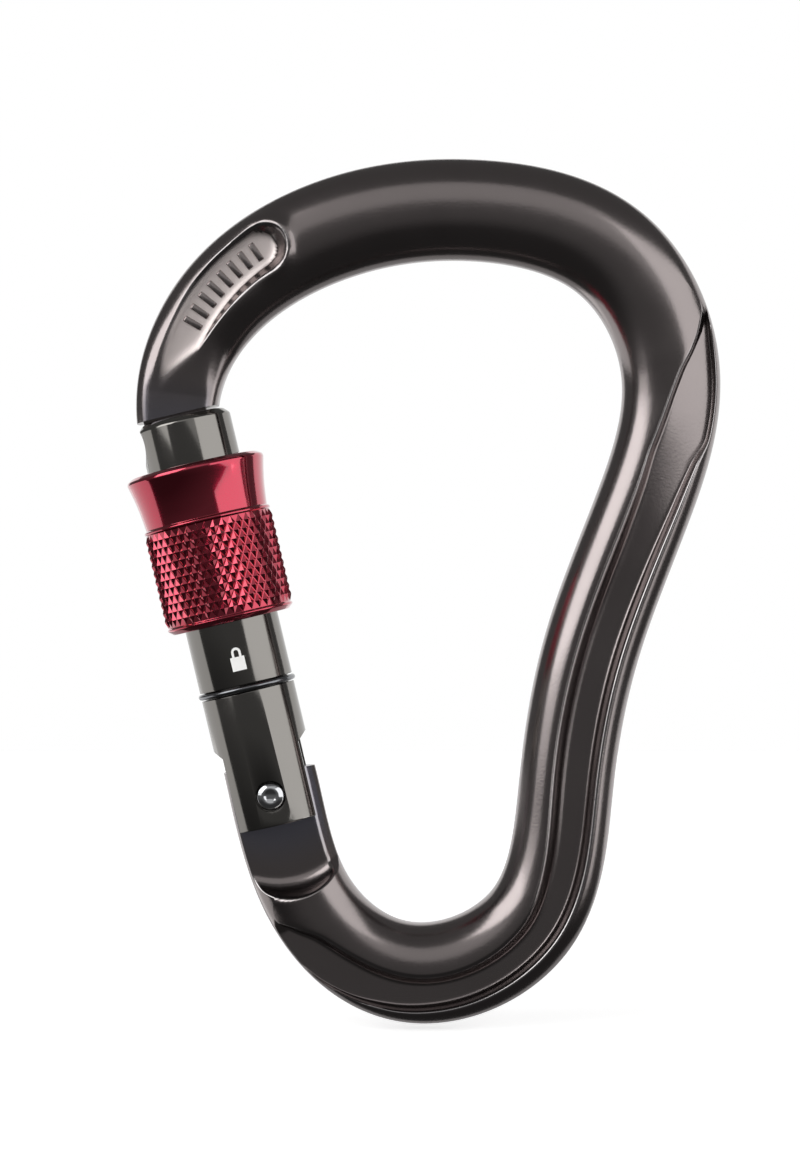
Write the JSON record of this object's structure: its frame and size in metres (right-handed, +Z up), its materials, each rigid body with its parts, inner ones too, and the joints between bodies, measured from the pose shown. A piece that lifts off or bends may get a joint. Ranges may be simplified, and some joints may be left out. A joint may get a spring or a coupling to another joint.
{
  "type": "locking carabiner",
  "caption": "Pear-shaped locking carabiner: forged aluminium frame with a grooved spine, a sprung round gate on a riveted hinge and a knurled sleeve that screws over the nose.",
  "frame": {"origin": "inner apex of the wide basket, where a loaded rope bears, on the mid-plane of the thickness", "axes": "+Z up towards the wide basket as the carabiner hangs, +X towards the spine with the gate on the -X side, Y through the thickness"},
  "size_m": [0.0755, 0.0178, 0.11],
  "materials": {
    "frame_anodised": "satin",
    "gate_anodised": "gloss",
    "sleeve_anodised": "gloss",
    "rivet_steel": "polished",
    "spring_steel": "satin",
    "ring_nylon": "matte"
  },
  "bodies": {
    "frame": {"frame_body": "frame_anodised"},
    "gate": {"gate_barrel": "gate_anodised", "hinge_rivet": "rivet_steel", "gate_spring": "spring_steel", "stop_ring": "spring_steel"},
    "plunger": {"spring_plunger": "rivet_steel"},
    "sleeve_carrier": {"friction_ring": "ring_nylon"},
    "sleeve": {"lock_sleeve": "sleeve_anodised"}
  },
  "joints": [
    {"name": "gate_swing", "type": "hinge", "parent": "frame", "child": "gate", "pos_m": [-0.02268, 0, -0.06771], "axis": [0, 1, 0], "range_deg": [0, 40], "stiffness_Nm_per_rad": 0.06, "springref_deg": -28.65},
    {"name": "plunger_slide", "type": "slide", "parent": "gate", "child": "plunger", "axis": [-0.2318, 0, 0.9728], "range_m": [0, 0.00155], "deforming": ["gate_spring"]},
    {"name": "sleeve_travel", "type": "slide", "parent": "gate", "child": "sleeve_carrier", "axis": [-0.2318, 0, 0.9728], "range_m": [-0.00771, 0.00851]},
    {"name": "sleeve_turn", "type": "hinge", "parent": "sleeve_carrier", "child": "sleeve", "pos_m": [-0.02268, 0, -0.06771], "axis": [-0.2318, 0, 0.9728], "range_deg": [-1386, 1530]}
  ],
  "couplings": [
    {"joint": "plunger_slide", "follows": "gate_swing", "m_per_rad": 0.00219},
    {"joint": "sleeve_travel", "follows": "sleeve_turn", "m_per_rad": 0.00031831}
  ]
}
